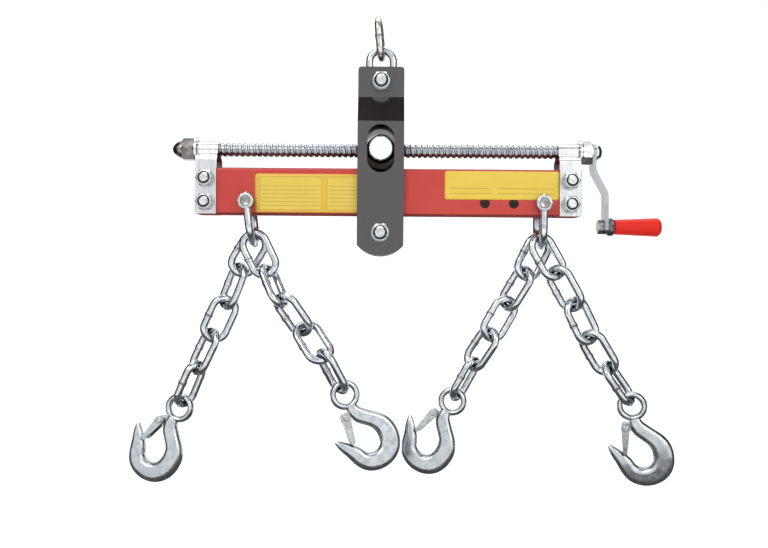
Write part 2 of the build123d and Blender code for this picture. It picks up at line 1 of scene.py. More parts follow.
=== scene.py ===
import json
import bpy
import bmesh
import numpy as np
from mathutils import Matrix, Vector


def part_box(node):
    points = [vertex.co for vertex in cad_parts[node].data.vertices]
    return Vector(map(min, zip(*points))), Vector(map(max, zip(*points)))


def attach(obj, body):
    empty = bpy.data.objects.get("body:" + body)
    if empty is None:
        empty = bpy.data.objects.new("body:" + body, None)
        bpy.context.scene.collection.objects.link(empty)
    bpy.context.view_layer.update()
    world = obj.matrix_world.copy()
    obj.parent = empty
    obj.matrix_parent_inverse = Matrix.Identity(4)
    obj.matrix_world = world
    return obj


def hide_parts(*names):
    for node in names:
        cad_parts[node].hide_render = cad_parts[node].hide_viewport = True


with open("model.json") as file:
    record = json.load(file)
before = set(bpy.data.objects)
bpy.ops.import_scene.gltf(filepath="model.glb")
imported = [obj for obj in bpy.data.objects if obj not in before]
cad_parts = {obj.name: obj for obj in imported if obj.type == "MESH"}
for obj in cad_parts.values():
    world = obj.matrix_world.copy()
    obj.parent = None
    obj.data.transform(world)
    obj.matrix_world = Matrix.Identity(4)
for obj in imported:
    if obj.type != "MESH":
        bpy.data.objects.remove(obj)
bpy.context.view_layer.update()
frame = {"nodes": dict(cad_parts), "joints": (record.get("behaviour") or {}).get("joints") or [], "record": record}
scene = bpy.context.scene
nodes = frame["nodes"]
joints = {joint["name"]: joint for joint in frame["joints"]}
mounts = {mount["name"]: mount for mount in frame["record"]["mounts"]}
chainNames = ("left_outer", "left_inner", "right_inner", "right_outer")
linksInChain = 5
linkNames = [f"{chain}_link_{number + 1}" for chain in chainNames for number in range(linksInChain)]
mm = 0.001
# a Mix node's colour sockets by number, because its sockets for other kinds of value have the same names
mixShare, mixFrom, mixTo, mixOut = 0, 6, 7, 2
colourMix = {"data_type": "RGBA"}
noiseLow, noiseHigh = 0.3, 0.7  # most of a noise texture's values lie between these
print("frame loaded,", len(nodes), "nodes")


# sRGB hex to linear, by the usual two-part curve
def hexToLinear(text):
    srgb = np.array([int(text[i:i + 2], 16) for i in (1, 3, 5)]) / 255
    linear = np.where(srgb <= 0.04045, srgb / 12.92, ((srgb + 0.055) / 1.055) ** 2.4)
    return (*linear.tolist(), 1.0)


# a node with its input values, its settings and its incoming links
def addNode(tree, kind, inputs=None, settings=None, links=None):
    node = tree.nodes.new(kind)
    for key, value in (settings or {}).items():
        setattr(node, key, value)
    for key, value in (inputs or {}).items():
        node.inputs[key].default_value = value
    for key, (source, output) in (links or {}).items():
        tree.links.new(source.outputs[output], node.inputs[key])
    return node


# an empty material: its tree, its shader and the coordinates that its patterns read
def newFinish(name):
    finish = bpy.data.materials.new(name)
    finish.use_nodes = True
    tree = finish.node_tree
    tree.nodes.clear()
    shader = addNode(tree, "ShaderNodeBsdfPrincipled")
    addNode(tree, "ShaderNodeOutputMaterial", links={"Surface": (shader, "BSDF")})
    coord = addNode(tree, "ShaderNodeTexCoord")
    return finish, tree, shader, coord


# a mesh's points as rows of x, y and z
def meshPoints(mesh):
    co = np.empty(len(mesh.vertices) * 3)
    mesh.vertices.foreach_get("co", co)
    return co.reshape(-1, 3)


# a box's lowest and highest corners, and the point midway
def boxPoints(box):
    low, high = (np.array(corner) for corner in box)
    return low, high, (low + high) / 2


# grids of points (rows, columns, 3) as quads; points nearer than merge, in metres, become one, so wrapped
# columns and poles close
def gridPiece(name, grids, finish, merge=2e-6):
    verts, faces, start = [], [], 0
    for grid in grids:
        rows, cols = grid.shape[:2]
        corner = np.arange(rows * cols).reshape(rows, cols) + start
        quads = [corner[:-1, :-1], corner[:-1, 1:], corner[1:, 1:], corner[1:, :-1]]
        faces.append(np.stack(quads, -1).reshape(-1, 4))
        verts.append(grid.reshape(-1, 3))
        start += rows * cols
    mesh = bpy.data.meshes.new(name)
    mesh.from_pydata(np.concatenate(verts).tolist(), [], np.concatenate(faces).tolist())
    bm = bmesh.new()
    bm.from_mesh(mesh)
    bmesh.ops.remove_doubles(bm, verts=bm.verts, dist=merge)
    bmesh.ops.dissolve_degenerate(bm, edges=bm.edges, dist=merge)
    bmesh.ops.recalc_face_normals(bm, faces=bm.faces)
    bm.to_mesh(mesh)
    bm.free()
    mesh.polygons.foreach_set("use_smooth", np.ones(len(mesh.polygons), dtype=bool))
    mesh.materials.append(finish)
    piece = bpy.data.objects.new(name, mesh)
    scene.collection.objects.link(piece)
    return piece


# an axis made a unit vector, and two unit vectors square to it
def crossPair(axis, nearUpright=0.9):
    axis = np.asarray(axis, float) / np.linalg.norm(axis)
    helper = np.array([0, 0, 1.0]) if abs(axis[2]) < nearUpright else np.array([1.0, 0, 0])
    first = np.cross(axis, helper)
    first /= np.linalg.norm(first)
    return axis, first, np.cross(axis, first)


# angles once round, the last equal to the first, so that a seam closes
def fullTurn(steps):
    turn = np.linspace(0, 2 * np.pi, steps + 1)
    turn[-1] = 0
    return turn


# points of the unit circle in a plane: cos * first + sin * second
def circlePoints(turn, first, second):
    return np.cos(turn)[:, None] * first + np.sin(turn)[:, None] * second


# a profile of (distance along, radius) turned round an axis: centre + along * axis + radius * (cos, sin)
def turnedGrid(centre, axis, profile, steps=40):
    axis, first, second = crossPair(axis)
    ring = circlePoints(fullTurn(steps), first, second)
    profile = np.asarray(profile, float)
    return np.asarray(centre) + profile[:, 0, None, None] * axis + profile[:, 1, None, None] * ring[None]


# a round tube along a path of points: path + radius * (cos, sin) square to the path, drawn to a point at
# both ends; askew is a direction that the path never takes
def tubeGrid(path, radius, steps=10, askew=(0.31, 0.77, 0.55)):
    tangent = np.gradient(path, axis=0)
    tangent /= np.linalg.norm(tangent, axis=1)[:, None]
    side = np.cross(tangent, np.array(askew))
    side /= np.linalg.norm(side, axis=1)[:, None]
    other = np.cross(tangent, side)
    turn = fullTurn(steps)
    swell = np.full(len(path), radius)
    swell[[0, -1]] = 0
    ring = np.cos(turn)[None, :, None] * side[:, None] + np.sin(turn)[None, :, None] * other[:, None]
    return path[:, None] + swell[:, None, None] * ring


# red powder coat on steel tube: flows out glossy with a faint orange peel about 1 mm across; the tube's long
# corners are painted darker as painted shade, the underside is painted darker as painted shade and made rougher,
# the sawn ends are bare, and inside, a pale tone stands in for light reaching into the tube, which is painted
# light
beamPaint = {"deep": "#BF3A33", "pale": "#CB4A42", "cloudMm": 70.0, "cloudDetail": 3.0,
             # the corner tone and its width: a darker red along the tube's long corners, painted shade
             "corner": "#6E1517", "cornerMm": 1.7, "sideFromMm": 2.6, "sideToMm": 1.4,
             # the underside's darker red is painted shade; the same mask makes the underside rougher
             "rubbed": "#84231F", "shadedDullUndersideMm": 1.6, "undersideRoughness": 1.0,
             # inside tone: a pale tone that stands in for light reaching into the tube, painted light
             "sawn": "#DDDEE0", "sawnMm": 1.3, "inside": "#EBD2C3", "insideFromMm": 2.7,
             "peelMm": 1.1, "peelDetail": 1.0, "peelBump": 0.06, "peelDepthMm": 0.1,
             "specular": 0.42, "roughness": 0.30}


# each place is a mask from the distances to the tube's middle, and their tones go on one after another
def beamPowderCoat():
    finish, tree, shader, coord = newFinish("redPowderCoat")
    low, high, middle = (point.tolist() for point in boxPoints(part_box("beam")))
    halfLength, halfDepth, halfHeight = ((high[i] - low[i]) / 2 for i in range(3))
    cloud = addNode(tree, "ShaderNodeTexNoise",
                    {"Scale": 1 / (beamPaint["cloudMm"] * mm), "Detail": beamPaint["cloudDetail"]},
                    links={"Vector": (coord, "Object")})
    tone = addNode(tree, "ShaderNodeMix",
                   {mixFrom: hexToLinear(beamPaint["deep"]), mixTo: hexToLinear(beamPaint["pale"])},
                   colourMix, {mixShare: (cloud, "Fac")})
    split = addNode(tree, "ShaderNodeSeparateXYZ", links={"Vector": (coord, "Object")})
    away = []
    for axis, centre in zip("XYZ", middle):
        shifted = addNode(tree, "ShaderNodeMath", {1: centre}, {"operation": "SUBTRACT"}, {0: (split, axis)})
        away.append(addNode(tree, "ShaderNodeMath", None, {"operation": "ABSOLUTE"}, {0: (shifted, "Value")}))
    alongX, acrossY, upZ = ((node, "Value") for node in away)
    # painted shade: a darker red along the tube's long corners, top and bottom
    drawn = addNode(tree, "ShaderNodeMapRange",
                    {"From Min": halfHeight - beamPaint["cornerMm"] * mm, "From Max": halfHeight},
                    links={"Value": upZ})
    side = addNode(tree, "ShaderNodeMapRange",
                   {"From Min": halfDepth - beamPaint["sideFromMm"] * mm,
                    "From Max": halfDepth - beamPaint["sideToMm"] * mm},
                   links={"Value": acrossY})
    corner = addNode(tree, "ShaderNodeMath", None, {"operation": "MULTIPLY"},
                     {0: (drawn, "Result"), 1: (side, "Result")})
    # painted shade: the underside is painted a darker red, and the same mask raises its roughness
    rubbed = addNode(tree, "ShaderNodeMapRange",
                     {"From Min": low[2] + beamPaint["shadedDullUndersideMm"] * mm, "From Max": low[2]},
                     links={"Value": (split, "Z")})
    sawn = addNode(tree, "ShaderNodeMath", {1: halfLength - beamPaint["sawnMm"] * mm},
                   {"operation": "GREATER_THAN"}, {0: alongX})
    # painted light: the inside of the tube, where little light reaches, takes a pale tone
    insideFrom = beamPaint["insideFromMm"] * mm
    between = addNode(tree, "ShaderNodeMath", {1: halfDepth - insideFrom}, {"operation": "LESS_THAN"},
                      {0: acrossY})
    below = addNode(tree, "ShaderNodeMath", {1: halfHeight - insideFrom}, {"operation": "LESS_THAN"},
                    {0: upZ})
    inside = addNode(tree, "ShaderNodeMath", None, {"operation": "MULTIPLY"},
                     {0: (between, "Value"), 1: (below, "Value")})
    # the corner and underside tones are painted shade, the inside tone is painted light, and the sawn tone is bare
    # steel
    places = {"corner": (corner, "Value"), "rubbed": (rubbed, "Result"), "sawn": (sawn, "Value"),
              "inside": (inside, "Value")}
    for place, mask in places.items():
        tone = addNode(tree, "ShaderNodeMix", {mixTo: hexToLinear(beamPaint[place])}, colourMix,
                       {mixShare: mask, mixFrom: (tone, mixOut)})
    gloss = addNode(tree, "ShaderNodeMapRange",
                    {"To Min": beamPaint["roughness"], "To Max": beamPaint["undersideRoughness"]},
                    links={"Value": (rubbed, "Result")})
    peel = addNode(tree, "ShaderNodeTexNoise",
                   {"Scale": 1 / (beamPaint["peelMm"] * mm), "Detail": beamPaint["peelDetail"]},
                   links={"Vector": (coord, "Object")})
    bump = addNode(tree, "ShaderNodeBump",
                   {"Strength": beamPaint["peelBump"], "Distance": beamPaint["peelDepthMm"] * mm},
                   links={"Height": (peel, "Fac")})
    shader.inputs["Specular IOR Level"].default_value = beamPaint["specular"]
    tree.links.new(gloss.outputs["Result"], shader.inputs["Roughness"])
    tree.links.new(tone.outputs[mixOut], shader.inputs["Base Color"])
    tree.links.new(bump.outputs["Normal"], shader.inputs["Normal"])
    return finish


# black stoving enamel on plate: nearly black below a hard gloss, so it shows grey only where it mirrors
# the room
platePaint = {"deep": "#161112", "pale": "#211B1B", "cloudMm": 45.0, "cloudDetail": 4.0,
              "peelMm": 1.4, "peelDetail": 1.5, "peelBump": 0.07, "peelDepthMm": 0.1,
              "roughness": 0.20, "specular": 0.9, "coat": 1.0, "coatRoughness": 0.15}


# two close blacks clouded by noise, and a fine bump for the enamel's peel
def plateEnamel():
    finish, tree, shader, coord = newFinish("blackEnamel")
    cloud = addNode(tree, "ShaderNodeTexNoise",
                    {"Scale": 1 / (platePaint["cloudMm"] * mm), "Detail": platePaint["cloudDetail"]},
                    links={"Vector": (coord, "Object")})
    tone = addNode(tree, "ShaderNodeMix",
                   {mixFrom: hexToLinear(platePaint["deep"]), mixTo: hexToLinear(platePaint["pale"])},
                   colourMix, {mixShare: (cloud, "Fac")})
    peel = addNode(tree, "ShaderNodeTexNoise",
                   {"Scale": 1 / (platePaint["peelMm"] * mm), "Detail": platePaint["peelDetail"]},
                   links={"Vector": (coord, "Object")})
    bump = addNode(tree, "ShaderNodeBump",
                   {"Strength": platePaint["peelBump"], "Distance": platePaint["peelDepthMm"] * mm},
                   links={"Height": (peel, "Fac")})
    shader.inputs["Roughness"].default_value = platePaint["roughness"]
    shader.inputs["Specular IOR Level"].default_value = platePaint["specular"]
    shader.inputs["Coat Weight"].default_value = platePaint["coat"]
    shader.inputs["Coat Roughness"].default_value = platePaint["coatRoughness"]
    tree.links.new(tone.outputs[mixOut], shader.inputs["Base Color"])
    tree.links.new(bump.outputs["Normal"], shader.inputs["Normal"])
    return finish


# electroplated zinc: bright blue-white metal, faintly clouded in patches of a few millimetres, with painted shade
# in crevices and under nearby parts; stretch draws the patches out along X, Y or Z, as on rolled strap; bare,
# blackened, worn and welded steel differ in tone and gloss, and on the shackle pins the dark tone is painted
# shade; zincSurface holds what a finish has unless its own values differ
zincSurface = {"stretch": (1.0, 1.0, 1.0), "patchDetail": 5.0, "patchRoughness": 0.6, "patchFrom": 0.34,
               # the occlusion reach, darkest share and range here set a mask that paints shade into crevices and
               # under nearby parts
               "patchTo": 0.62, "paintedShadeMm": 4.0, "paintedShadeTone": 0.35, "paintedShadeFrom": 0.2, "paintedShadeTo": 0.8,
               "paintedShadeSamples": 8, "grainDetail": 3.0, "grainBump": 0.07, "grainDepthMm": 0.08}
zincTones = {
    "zincStrap": {"pale": "#DCDEE1", "dull": "#CACDD0", "smooth": 0.20, "rough": 0.30, "patchMm": 3.0,
                  "grainMm": 0.7, "stretch": (1.0, 1.0, 0.12)},
    "zincFastener": {"pale": "#E4E6E8", "dull": "#C2C6C9", "smooth": 0.16, "rough": 0.28, "patchMm": 4.0,
                     "grainMm": 0.6},
    "zincChain": {"pale": "#D5DADE", "dull": "#B0B8BE", "smooth": 0.13, "rough": 0.26, "patchMm": 5.0,
                  "grainMm": 1.0},
    "zincHook": {"pale": "#CCD0D4", "dull": "#AEB5BA", "smooth": 0.20, "rough": 0.32, "patchMm": 7.0,
                 "grainMm": 1.2},
    "zincLatch": {"pale": "#C9CDD0", "dull": "#A4AAAE", "smooth": 0.22, "rough": 0.34, "patchMm": 4.0,
                  "grainMm": 0.7},
    "zincScrew": {"pale": "#AEB3B8", "dull": "#90969C", "smooth": 0.24, "rough": 0.34, "patchMm": 8.0,
                  # the screw's long occlusion reach and low tone paint shade on its underside, over the beam
                  "grainMm": 0.8, "paintedShadeMm": 40.0, "paintedShadeTone": 0.04},
    "zincArm": {"pale": "#A5A7AA", "dull": "#95989B", "smooth": 0.28, "rough": 0.34, "patchMm": 14.0,
                "grainMm": 1.4},
    "bareNut": {"pale": "#A8A4A1", "dull": "#6C6866", "smooth": 0.18, "rough": 0.30, "patchMm": 9.0,
                "grainMm": 0.7},
    # dark steel: on the grip nut it is the nut's own tone; on the shackle pins it is painted shade in each eye's
    # hollow
    "darkNutAndShadedPin": {"pale": "#77797B", "dull": "#343638", "smooth": 0.22, "rough": 0.36, "patchMm": 3.0,
                     "grainMm": 0.6},
    "wornLink": {"pale": "#D6D1CA", "dull": "#A9A39C", "smooth": 0.16, "rough": 0.30, "patchMm": 4.0,
                 "grainMm": 0.8},
    "weldScale": {"pale": "#A4A8AC", "dull": "#3F4245", "smooth": 0.30, "rough": 0.55, "patchMm": 1.6,
                  "grainMm": 0.5},
}


# patches of noise choose tone and gloss; the tone is then multiplied by how open the surface lies, which is
# painted shade in crevices and under nearby parts
def zincPlate(name):
    tones = zincSurface | zincTones[name]
    finish, tree, shader, coord = newFinish(name)
    drawn = addNode(tree, "ShaderNodeMapping", {"Scale": tones["stretch"]},
                    links={"Vector": (coord, "Object")})
    patch = addNode(tree, "ShaderNodeTexNoise",
                    {"Scale": 1 / (tones["patchMm"] * mm), "Detail": tones["patchDetail"],
                     "Roughness": tones["patchRoughness"]},
                    links={"Vector": (drawn, "Vector")})
    shade = addNode(tree, "ShaderNodeMapRange",
                    {"From Min": tones["patchFrom"], "From Max": tones["patchTo"]},
                    links={"Value": (patch, "Fac")})
    tone = addNode(tree, "ShaderNodeMix",
                   {mixFrom: hexToLinear(tones["dull"]), mixTo: hexToLinear(tones["pale"])},
                   colourMix, {mixShare: (shade, "Result")})
    # painted shade: ambient occlusion darkens the tone in crevices and under nearby parts
    crevice = addNode(tree, "ShaderNodeAmbientOcclusion", {"Distance": tones["paintedShadeMm"] * mm},
                      {"samples": tones["paintedShadeSamples"]})
    soil = addNode(tree, "ShaderNodeMapRange",
                   {"From Min": tones["paintedShadeFrom"], "From Max": tones["paintedShadeTo"], "To Min": tones["paintedShadeTone"]},
                   links={"Value": (crevice, "AO")})
    worn = addNode(tree, "ShaderNodeMix", {mixShare: 1.0}, colourMix | {"blend_type": "MULTIPLY"},
                   {mixFrom: (tone, mixOut), mixTo: (soil, "Result")})
    grain = addNode(tree, "ShaderNodeTexNoise",
                    {"Scale": 1 / (tones["grainMm"] * mm), "Detail": tones["grainDetail"]},
                    links={"Vector": (drawn, "Vector")})
    gloss = addNode(tree, "ShaderNodeMapRange",
                    {"From Min": noiseLow, "From Max": noiseHigh,
                     "To Min": tones["smooth"], "To Max": tones["rough"]},
                    links={"Value": (patch, "Fac")})
    bump = addNode(tree, "ShaderNodeBump",
                   {"Strength": tones["grainBump"], "Distance": tones["grainDepthMm"] * mm},
                   links={"Height": (grain, "Fac")})
    shader.inputs["Metallic"].default_value = 1.0
    tree.links.new(worn.outputs[mixOut], shader.inputs["Base Color"])
    tree.links.new(gloss.outputs["Result"], shader.inputs["Roughness"])
    tree.links.new(bump.outputs["Normal"], shader.inputs["Normal"])
    return finish


# free-cutting bar, turned: the faced pin ends mirror the room, the body between the plates is dull,
# and painted darker towards its lower half as painted shade
# the darker lower tone, between its two heights, is painted shade on the lower half of the body
trunnionTones = {"bright": "#F6F7F8", "oxide": "#7B787A", "shadedLowerTone": "#2A2725", "pinStartMm": 16.6,
                 "pinBlendMm": 0.3, "shadeLowMm": -4.0, "shadeHighMm": 12.0, "turnMm": 0.6, "turnDetail": 2.0,
                 "turnBump": 0.05, "turnDepthMm": 0.05, "smooth": 0.22, "rough": 0.30}


# the painted shade fades out with height above the middle, and the bright tone starts where the pins do
def trunnionSteel():
    finish, tree, shader, coord = newFinish("turnedBarSteel")
    split = addNode(tree, "ShaderNodeSeparateXYZ", links={"Vector": (coord, "Object")})
    depth = addNode(tree, "ShaderNodeMath", None, {"operation": "ABSOLUTE"}, {0: (split, "Y")})
    start = trunnionTones["pinStartMm"] * mm
    ends = addNode(tree, "ShaderNodeMapRange",
                   {"From Min": start, "From Max": start + trunnionTones["pinBlendMm"] * mm},
                   links={"Value": (depth, "Value")})
    low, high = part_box("trunnion_nut")
    height = (low[2] + high[2]) / 2
    # painted shade: darker towards the bottom of the body
    drained = addNode(tree, "ShaderNodeMapRange",
                      {"From Min": height + trunnionTones["shadeLowMm"] * mm,
                       "From Max": height + trunnionTones["shadeHighMm"] * mm},
                      links={"Value": (split, "Z")})
    body = addNode(tree, "ShaderNodeMix",
                   {mixFrom: hexToLinear(trunnionTones["shadedLowerTone"]), mixTo: hexToLinear(trunnionTones["oxide"])},
                   colourMix, {mixShare: (drained, "Result")})
    tone = addNode(tree, "ShaderNodeMix", {mixTo: hexToLinear(trunnionTones["bright"])}, colourMix,
                   {mixShare: (ends, "Result"), mixFrom: (body, mixOut)})
    marks = addNode(tree, "ShaderNodeTexNoise",
                    {"Scale": 1 / (trunnionTones["turnMm"] * mm), "Detail": trunnionTones["turnDetail"]},
                    links={"Vector": (coord, "Object")})
    gloss = addNode(tree, "ShaderNodeMapRange",
                    {"From Min": noiseLow, "From Max": noiseHigh,
                     "To Min": trunnionTones["smooth"], "To Max": trunnionTones["rough"]},
                    links={"Value": (marks, "Fac")})
    bump = addNode(tree, "ShaderNodeBump",
                   {"Strength": trunnionTones["turnBump"], "Distance": trunnionTones["turnDepthMm"] * mm},
                   links={"Height": (marks, "Fac")})
    shader.inputs["Metallic"].default_value = 1.0
    tree.links.new(tone.outputs[mixOut], shader.inputs["Base Color"])
    tree.links.new(gloss.outputs["Result"], shader.inputs["Roughness"])
    tree.links.new(bump.outputs["Normal"], shader.inputs["Normal"])
    return finish


# injection-moulded polypropylene: even red, faint flow marks along the grip
gripPlastic = {"deep": "#D61A07", "pale": "#E4260F", "flowMm": 5.5, "flowDetail": 2.0,
               "flowStretch": (0.15, 1.0, 1.0), "fineMm": 0.7, "fineBump": 0.08, "fineDepthMm": 0.05,
               "roughness": 0.36, "specular": 0.28}


# two close reds in marks drawn out along X, and a fine bump for the mould's surface
def mouldedGrip():
    finish, tree, shader, coord = newFinish("redMouldedPlastic")
    flow = addNode(tree, "ShaderNodeMapping", {"Scale": gripPlastic["flowStretch"]},
                   links={"Vector": (coord, "Object")})
    cloud = addNode(tree, "ShaderNodeTexNoise",
                    {"Scale": 1 / (gripPlastic["flowMm"] * mm), "Detail": gripPlastic["flowDetail"]},
                    links={"Vector": (flow, "Vector")})
    tone = addNode(tree, "ShaderNodeMix",
                   {mixFrom: hexToLinear(gripPlastic["deep"]), mixTo: hexToLinear(gripPlastic["pale"])},
                   colourMix, {mixShare: (cloud, "Fac")})
    fine = addNode(tree, "ShaderNodeTexNoise", {"Scale": 1 / (gripPlastic["fineMm"] * mm)},
                   links={"Vector": (coord, "Object")})
    bump = addNode(tree, "ShaderNodeBump",
                   {"Strength": gripPlastic["fineBump"], "Distance": gripPlastic["fineDepthMm"] * mm},
                   links={"Height": (fine, "Fac")})
    shader.inputs["Roughness"].default_value = gripPlastic["roughness"]
    shader.inputs["Specular IOR Level"].default_value = gripPlastic["specular"]
    tree.links.new(tone.outputs[mixOut], shader.inputs["Base Color"])
    tree.links.new(bump.outputs["Normal"], shader.inputs["Normal"])
    return finish


# nylon insert of a lock nut: dark, waxy, slightly cut by the bolt's thread
nylon = {"deep": "#0E0F10", "pale": "#202224", "roughness": 0.45, "cutMm": 1.1, "cutDetail": 2.0}


# two dark greys clouded by noise as fine as the thread's cuts
def nylonInsert():
    finish, tree, shader, coord = newFinish("blackNylon")
    cloud = addNode(tree, "ShaderNodeTexNoise",
                    {"Scale": 1 / (nylon["cutMm"] * mm), "Detail": nylon["cutDetail"]},
                    links={"Vector": (coord, "Object")})
    tone = addNode(tree, "ShaderNodeMix",
                   {mixFrom: hexToLinear(nylon["deep"]), mixTo: hexToLinear(nylon["pale"])},
                   colourMix, {mixShare: (cloud, "Fac")})
    shader.inputs["Roughness"].default_value = nylon["roughness"]
    tree.links.new(tone.outputs[mixOut], shader.inputs["Base Color"])
    return finish


# 1 inside any of the boxes (left, right, bottom, top) of the UV map, else 0: four comparisons multiplied for
# each box, and the largest over all boxes
def boxMask(tree, split, boxes):
    mask = None
    for left, right, bottom, top in boxes:
        inside = None
        limits = (("X", left, "GREATER_THAN"), ("X", right, "LESS_THAN"),
                  ("Y", bottom, "GREATER_THAN"), ("Y", top, "LESS_THAN"))
        for axis, limit, way in limits:
            test = addNode(tree, "ShaderNodeMath", {1: limit}, {"operation": way}, {0: (split, axis)})
            if inside is not None:
                test = addNode(tree, "ShaderNodeMath", None, {"operation": "MULTIPLY"},
                               {0: (inside, "Value"), 1: (test, "Value")})
            inside = test
        if mask is not None:
            inside = addNode(tree, "ShaderNodeMath", None, {"operation": "MAXIMUM"},
                             {0: (mask, "Value"), 1: (inside, "Value")})
        mask = inside
    return mask


# printed vinyl: glossy film, a deep yellow margin round paler panels, with thin ruled lines on its own UV map
labelFilm = {"ink": "#6E5D1C", "inkStrength": 0.42, "fadeMm": 22.0, "fadeDetail": 3.0, "roughness": 0.34}


# margin and panel each fade between two yellows; the panels cover the margin, and the ink covers both
def labelVinyl(name, label):
    finish, tree, shader, coord = newFinish(name)
    fade = addNode(tree, "ShaderNodeTexNoise",
                   {"Scale": 1 / (labelFilm["fadeMm"] * mm), "Detail": labelFilm["fadeDetail"]},
                   links={"Vector": (coord, "Object")})
    split = addNode(tree, "ShaderNodeSeparateXYZ", links={"Vector": (coord, "UV")})
    margin, panel = (addNode(tree, "ShaderNodeMix",
                             {mixFrom: hexToLinear(label[part + "Deep"]),
                              mixTo: hexToLinear(label[part + "Pale"])},
                             colourMix, {mixShare: (fade, "Fac")})
                     for part in ("margin", "panel"))
    panelled = addNode(tree, "ShaderNodeMix", None, colourMix,
                       {mixShare: (boxMask(tree, split, label["panels"]), "Value"),
                        mixFrom: (margin, mixOut), mixTo: (panel, mixOut)})
    ruled = addNode(tree, "ShaderNodeMath", {1: labelFilm["inkStrength"]}, {"operation": "MULTIPLY"},
                    {0: (boxMask(tree, split, label["lines"]), "Value")})
    printed = addNode(tree, "ShaderNodeMix", {mixTo: hexToLinear(labelFilm["ink"])}, colourMix,
                      {mixShare: (ruled, "Value"), mixFrom: (panelled, mixOut)})
    shader.inputs["Roughness"].default_value = labelFilm["roughness"]
    tree.links.new(printed.outputs[mixOut], shader.inputs["Base Color"])
    return finish


finishes = {name: zincPlate(name) for name in zincTones}
finishes["beam"] = beamPowderCoat()
finishes["plates"] = plateEnamel()
finishes["grip"] = mouldedGrip()
finishes["trunnion"] = trunnionSteel()
finishes["nylon"] = nylonInsert()
nodeFinish = {"beam": "beam", "front_plate": "plates", "rear_plate": "plates", "crank_grip": "grip",
              "left_bracket": "zincStrap", "right_bracket": "zincStrap", "trunnion_nut": "trunnion",
              "screw_bushes": "zincScrew", "lead_screw": "zincScrew", "lifting_link": "wornLink",
              "crank_arm": "zincArm", "cap_nut": "bareNut", "grip_nut": "darkNutAndShadedPin",
              "grip_bolt": "bareNut", "upper_link": "zincChain",
              "left_shackle": "zincChain", "right_shackle": "zincChain",
              # the shackle pins are darkened as painted shade in the hollow of each eye
              "left_shackle_pin": "darkNutAndShadedPin", "right_shackle_pin": "darkNutAndShadedPin"}
nodeFinish |= {name: "zincChain" for name in linkNames}
for chain in chainNames:
    nodeFinish[f"{chain}_hook"] = "zincHook"
    nodeFinish[f"{chain}_latch"] = "zincLatch"
    nodeFinish[f"{chain}_latch_pivot"] = "zincLatch"
for name, cadNode in nodes.items():
    cadNode.data.materials.clear()
    cadNode.data.materials.append(finishes[nodeFinish.get(name, "zincFastener")])
print("finishes set")


# lead screw: radius(x, turn) repeats every pitch along the helix x - pitch * turn / 2pi, with plain journals;
# sizes in mm, and gap is left between the thread and each bracket
leadScrew = {"pitch": 6.0, "crest": 7.1, "root": 5.8, "journal": 5.0, "bevel": 1.0, "gap": 0.3,
             "stepsPerPitch": 20, "sides": 36, "crestShare": 0.46, "flankShare": 0.14}


def threadedScrew():
    low, high, middle = boxPoints(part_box("lead_screw"))
    pitch, journal, bevel, gap = (leadScrew[key] * mm for key in ("pitch", "journal", "bevel", "gap"))
    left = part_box("left_bracket")[1][0] + gap
    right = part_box("right_bracket")[0][0] - gap
    step = pitch / leadScrew["stepsPerPitch"]
    turn = np.linspace(0, 2 * np.pi, leadScrew["sides"] + 1)
    climb = pitch * turn / (2 * np.pi)
    start = left - pitch + np.arange(int((right - left + pitch) / step) + 2) * step
    along = np.clip(start[:, None] + climb, left, right)
    phase = ((along - climb - left) / pitch) % 1.0
    crest, flank = leadScrew["crestShare"], leadScrew["flankShare"]
    share = np.interp(phase, (0, crest, crest + flank, 1 - flank, 1), (1, 1, 0, 0, 1))
    share = share * share * (3 - 2 * share)  # rounds the foot and the shoulder of each flank
    radius = (leadScrew["root"] + (leadScrew["crest"] - leadScrew["root"]) * share) * mm
    leftEnd = [(low[0], 0.0), (low[0], journal - bevel), (low[0] + bevel, journal), (left, journal)]
    rightEnd = [(right, journal), (high[0] - bevel, journal), (high[0], journal - bevel), (high[0], 0.0)]
    leftEnd, rightEnd = (np.repeat(np.array(end)[:, None], len(turn), 1) for end in (leftEnd, rightEnd))
    x = np.concatenate([leftEnd[..., 0], along, rightEnd[..., 0]])
    r = np.concatenate([leftEnd[..., 1], radius, rightEnd[..., 1]])
    grid = np.stack([x, middle[1] + r * np.cos(turn), middle[2] + r * np.sin(turn)], -1)
    screw = gridPiece("threadedScrew", [grid], finishes["zincScrew"])
    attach(screw, "screw")
    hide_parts("lead_screw")


threadedScrew()
print("lead screw threaded")


# shim washers on the trunnion's pins: a thin ring turned round the pin, between the body and each plate;
# radii, and distances from the beam's middle plane, in mm
shims = {"inner": 12.6, "outer": 23.9, "near": 15.72, "far": 15.92, "sides": 72}


def trunnionShims():
    _, _, middle = boxPoints(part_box("trunnion_nut"))
    inner, outer, near, far = (shims[key] * mm for key in ("inner", "outer", "near", "far"))
    profile = [(near, inner), (near, outer), (far, outer), (far, inner), (near, inner)]
    grids = [turnedGrid(middle, (0, way, 0), profile, shims["sides"]) for way in (-1, 1)]
    # the rings take the trunnion's finish, with its painted shade towards the bottom
    rings = gridPiece("shimWashers", grids, finishes["trunnion"])
    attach(rings, "trunnion")


trunnionShims()
print("shims fitted")


# rear wall of the beam behind the two spare holes: a disc turned round each hole's axis, flush with the tube;
# a narrow ring at the rim, edge, keeps both faces flat
spareHoles = {"names": ("spare_shackle_hole_1", "spare_shackle_hole_2"), "radius": 5.23, "wall": 2.96,
              "edge": 0.05, "sunk": 0.01, "sides": 48}


